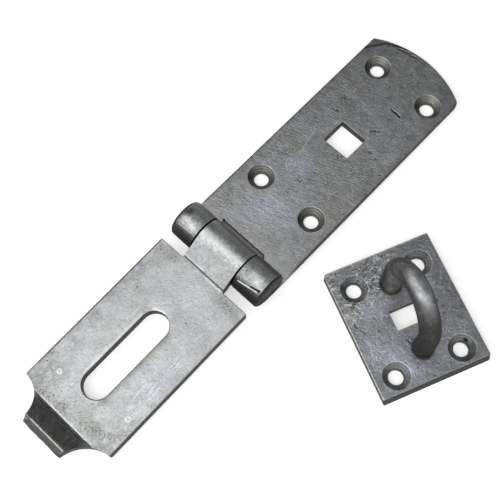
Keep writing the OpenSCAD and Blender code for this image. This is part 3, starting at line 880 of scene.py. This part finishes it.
def dross_zinc():
    """Hot-dip galvanised plate that lay under the bath's dross as it cooled.

    The eye sees a crinkled corner, fine strokes, dark pits and nicks, and dull grey cut edges, drawn darker
    still as painted shade.
    """
    at = on_staple
    material, tree, shader, mm = start_zinc("galvanised_steel_dross")
    rough_mm = ragged(tree, mm, 1.5, 0.5)
    swirled = ragged(tree, mm, 5.0, 3.0)
    grain = crystals(tree, mm)
    specks = patchy(tree, mm, 1.2, 0.6, 0.68)
    mottle = patchy(tree, mm, 3.2, 0.36, 0.68)
    crinkled = spots(tree, rough_mm, (
        at(-20, 26), at(-10, 27), at(-1, 27), at(-7, 18), at(-22, 14),
    ), 4.0, 6.0)
    crinkles = strokes(tree, swirled, heading=-20, length=9.0, width=1.5, low=0.52)
    folds = strokes(tree, ragged(tree, mm, 6.0, 3.0), heading=-12, length=9.0, width=1.2, low=0.54)
    runs = strokes(tree, swirled, heading=-50, length=9.0, width=1.2, low=0.56)
    side_streaks = strokes(tree, ragged(tree, mm, 8.0, 2.0), heading=52, length=12.0, width=1.3, low=0.52)
    by_side = nick(tree, rough_mm, at(-20, -8), at(-18, -28), 2.0, 6.0)
    light_strokes = strokes(tree, mm, heading=32, length=9.0, width=0.4, low=0.59)
    dark_strokes = strokes(tree, mm, heading=-15, length=7.0, width=0.4, low=0.6)
    holes = pits(tree, rough_mm, spacing=6.0, radius=0.5, share=0.3)
    gouges = nicks(tree, ragged(tree, mm, 1.0, 0.8), (
        (at(-21.5, 5.2), at(-21.3, 3.4)), (at(-20.4, 1.9), at(-19.0, -0.2)),
        (at(14.4, 2.6), at(15.4, 1.0)), (at(-4.2, -9.8), at(-3.2, -11.6)),
    ), 0.1, 0.6)
    dents = spots(tree, rough_mm, (
        at(-12.8, 4.4), at(-13.0, -1.4), at(13.0, -3.6), at(15.8, -2.0),
        at(-0.5, -27.4), at(17, 27.4), at(2.5, 28.2), at(21.3, 2.8),
    ), 0.1, 0.8)
    # Painted shadow: a dark ring on the plate around each leg's foot
    feet_shadow = spots(tree, mm, (at(0, LEG_AT), at(0, -LEG_AT)), BAR_R, 1.1)
    blob = spots(tree, rough_mm, (at(18.1, -18.8) - Vector((0, 0, 1.9)),), 0.7, 0.7)
    rubbed = spots(tree, ragged(tree, mm, 4.0, 4.0), (
        at(-11, -13), at(-9, 11), at(-10, -18), at(-4, -9),
    ), 2.0, 8.0)
    dull = spots(tree, ragged(tree, mm, 4.0, 4.0), (at(21, 5), at(21, -4), at(12, 27)), 2.0, 9.0)
    edges = nick(tree, mm, at(0, -6), at(0, 6), 27.0, 19.0)
    # Painted highlight: pale lines along two of the plate's rounded edges
    rim_highlights = nicks(tree, rough_mm, (
        (at(-24.7, 27), at(-24.7, -29)), (at(-23, 29.8), at(24, 29.8)),
    ), 0.2, 0.65)
    corner_flecks = patchy(tree, swirled, 1.4, 0.56, 0.62, 4.0)
    # The cones are drawn darker as painted shade, then a little paler at the end as a painted glint
    cones, rings = countersinks(tree, mm, [at(*screw)[:2] for screw in STAPLE_SCREWS])
    # Painted shade: faces that turn well away from up are drawn dark, partly also the duller cut zinc
    shaded_sides = tilted(tree, (0, 0, 1), 0.8, 0.6)

    metal = zinc_colour(tree, mm, dull="#9fa2a2", body="#acafb5", rubbed="#bfc3cf", cloud=9.0)
    metal = stained(tree, metal, (
        (rubbed, "#d6d9e6", 0.75),
        (dull, "#7f8184", 0.6),
        (mottle, "#7e8082", 0.4),
        (grain, "#d0d2d6", 0.22),
        (crinkles, "#f4f5f6", 0.85, crinkled),
        (folds, "#434442", 0.55, crinkled),
        (corner_flecks, "#f4f4f4", 0.6, crinkled),
        (runs, "#d4d7e0", 0.4),
        (side_streaks, "#e4e6ea", 0.5, by_side),
        (light_strokes, "#d8dade", 0.35),
        (dark_strokes, "#747678", 0.35),
        (specks, "#565855", 0.4),
        (holes, "#3c3e3c", 0.55),
        (edges, "#7c7e7d", 0.35),
        (gouges, "#262726", 0.7),
        (dents, "#343534", 0.6),
        (feet_shadow, "#2c2d2c", 0.75),
        (cones, "#6c6e6a", 0.42),
        (shaded_sides, "#3b3c3a", 0.93),
        (cones, "#a4a6a4", 0.12),
        (rim_highlights, "#e4e5e4", 0.75),
        (blob, "#1c1d1c", 0.9),
    ))
    coat(tree, shader, metal, smooth=0.3, rough=0.44, heights=(
        (grain, 0.03), (mottle, 0.06), (specks, -0.05), (crinkles, 0.4, crinkled), (runs, 0.03),
        (light_strokes, -0.02), (dark_strokes, -0.02), (holes, -0.08), (gouges, -0.1), (dents, -0.08),
        (rings, 0.03), (blob, -0.1),
    ))
    return material


def bar_zinc():
    """Hot-rolled round bar, bent hot, then galvanised with its mill scale showing through.

    The eye sees a dark brownish grey with an uneven skin, and a pale crown where it catches the light.
    The crown's pale streak is a painted highlight, and the darker flanks are painted shade.
    """
    at = on_staple
    material, tree, shader, mm = start_zinc("galvanised_round_bar")
    grain = crystals(tree, mm)
    mottle = patchy(tree, mm, 3.0, 0.35, 0.68)
    scale = patchy(tree, mm, 4.5, 0.42, 0.6)
    specks = patchy(tree, mm, 1.2, 0.6, 0.68)
    skin = patchy(tree, ragged(tree, mm, 3.0, 2.0), 2.4, 0.52, 0.64, 4.0)
    # Painted shade: the bar is drawn darker where it begins to turn away from up
    shaded_shoulders = tilted(tree, (0, 0, 1), 0.94, 0.76)
    # Painted shade: the bar's flanks and underside are drawn dark
    shaded_sides = tilted(tree, (0, 0, 1), 0.8, 0.5)
    near_leg = nick(tree, mm, at(0, -LEG_AT), at(0, -LEG_AT) + Vector((0, 0, 26)), 5.0, 9.0)
    # Painted reflection: a pale patch on the inner side of the far leg
    far_leg_reflection = nick(
        tree, mm, at(-1, LEG_AT - BAR_R) + Vector((0, 0, 5)), at(-2, LEG_AT - BAR_R) + Vector((0, 0, 22)),
        2.0, 6.0)
    # Painted light: the loop's far shoulder is drawn paler, over its painted shade
    lit_far_shoulder = spots(tree, ragged(tree, mm, 3.0, 2.0), (
        at(-4, LEG_AT) + Vector((0, 0, 24)), at(-4, LEG_AT - 3) + Vector((0, 0, 32)),
    ), 1.5, 5.0)
    # Painted highlight: a pale streak along the loop's crown
    crown = nick(
        tree, ragged(tree, mm, 4.0, 2.5), LOOP_TOP + Vector((-2, 4, 0)), LOOP_TOP + Vector((-1, -9, -1)),
        0.8, 4.5)

    metal = zinc_colour(tree, mm, dull="#a4a4a2", body="#b6b7b9", rubbed="#c4c6ce", cloud=5.0)
    metal = stained(tree, metal, (
        (mottle, "#8e8e8c", 0.45),
        (grain, "#d8d9dc", 0.3),
        (specks, "#626260", 0.4),
        (shaded_shoulders, "#747475", 0.85),
        (crown, "#d6d8de", 0.35),
        (shaded_sides, "#434341", 0.93),
        (far_leg_reflection, "#a0a098", 0.65),
        (lit_far_shoulder, "#8e8f92", 0.45),
        (scale, "#484644", 0.4),
        (skin, "#86868e", 0.22),
        (near_leg, "#393836", 0.55),
    ))
    coat(tree, shader, metal, smooth=0.46, rough=0.6, heights=(
        (grain, 0.03), (mottle, 0.12), (scale, 0.08), (specks, -0.06),
    ))
    return material


# Stage, lights and camera

def flat_board(name, width, height):
    """A flat board in the floor's plane, as a mesh object that is not part of the hasp."""
    bm = bmesh.new()
    stretched = Matrix.Diagonal((width, height, 1, 1))
    bmesh.ops.create_grid(bm, x_segments=1, y_segments=1, size=0.5, matrix=stretched)
    mesh = bpy.data.meshes.new(name)
    bm.to_mesh(mesh)
    bm.free()
    board = bpy.data.objects.new(name, mesh)
    bpy.context.scene.collection.objects.link(board)
    return board


def paper(name, brightness):
    """Matt paper with no shine."""
    material = bpy.data.materials.new(name)
    material.use_nodes = True
    shader = material.node_tree.nodes["Principled BSDF"]
    shader.inputs["Base Color"].default_value = grey(brightness)
    shader.inputs["Roughness"].default_value = 1.0
    shader.inputs["Specular IOR Level"].default_value = 0.0
    return material, material.node_tree, shader


def white_floor(lift):
    """The floor, of paper that the camera and the metal see brighter by the lift, so that it is white."""
    floor = flat_board("floor", 8.0, 8.0)
    # Just under the hasp, so that the two share no plane
    floor.location.z = -0.02 * MM
    material, tree, shader = paper("white_paper", 0.96)
    ray = add(tree, "ShaderNodeLightPath").outputs
    links = {0: ray["Is Camera Ray"], 1: ray["Is Glossy Ray"]}
    seen = add(tree, "ShaderNodeMath", {"operation": "MAXIMUM"}, links).outputs[0]
    links = {0: seen, 1: ray["Is Transmission Ray"]}
    seen = add(tree, "ShaderNodeMath", {"operation": "MAXIMUM"}, links).outputs[0]
    strength = add(tree, "ShaderNodeMath", {"operation": "MULTIPLY", 1: lift}, {0: seen}).outputs[0]
    shader.inputs["Emission Color"].default_value = grey(1.0)
    tree.links.new(strength, shader.inputs["Emission Strength"])
    floor.data.materials.append(material)


def seen_from(heading, elevation):
    """The direction at a heading from +X and an elevation, both in degrees."""
    toward = Vector((math.cos(math.radians(elevation)), 0.0, math.sin(math.radians(elevation))))
    toward.rotate(Euler((0, 0, math.radians(heading))))
    return toward


def dark_card(heading, elevation, away, wide, tall):
    """A dark card that the metal mirrors, beyond the fixed leaf's rounded end. The camera doesn't see it."""
    card = flat_board("dark_card", wide, tall)
    toward = seen_from(heading, elevation)
    card.location = toward * away
    card.rotation_euler = toward.to_track_quat("Z", "Y").to_euler()
    card.data.materials.append(paper("dark_card", 0.12)[0])
    card.visible_camera = False


def soft_box(name, heading, elevation, away, size, power):
    light = bpy.data.lights.new(name, "AREA")
    light.shape = "SQUARE"
    light.size = size
    light.energy = power
    box = bpy.data.objects.new(name, light)
    toward = seen_from(heading, elevation)
    box.location = toward * away
    box.rotation_euler = toward.to_track_quat("Z", "Y").to_euler()
    bpy.context.scene.collection.objects.link(box)


def white_room():
    world = bpy.data.worlds.new("white_room")
    bpy.context.scene.world = world
    world.use_nodes = True
    background = world.node_tree.nodes["Background"]
    background.inputs["Color"].default_value = grey(1.0)
    background.inputs["Strength"].default_value = 1.0


def photo_camera():
    data = bpy.data.cameras.new("photo_camera")
    data.sensor_width = SENSOR_MM
    data.lens = FOCAL_PX / PHOTO_PX * SENSOR_MM
    data.clip_start = 0.01
    camera = bpy.data.objects.new("photo_camera", data)
    camera.location = Vector(CAMERA_AT) * MM
    camera.rotation_euler = Euler([math.radians(a) for a in CAMERA_TURN], "XYZ")
    bpy.context.scene.collection.objects.link(camera)
    bpy.context.scene.camera = camera


photo_camera()
white_floor(lift=0.42)
dark_card(heading=5, elevation=38.5, away=1.0, wide=3.6, tall=1.6)
white_room()
soft_box("key", heading=180, elevation=52, away=1.0, size=0.9, power=2.5)

fixed_leaf()
hinge_pin()
hasp_leaf()
staple_plate()
staple_loop()

bpy.context.scene.view_settings.view_transform = "Standard"
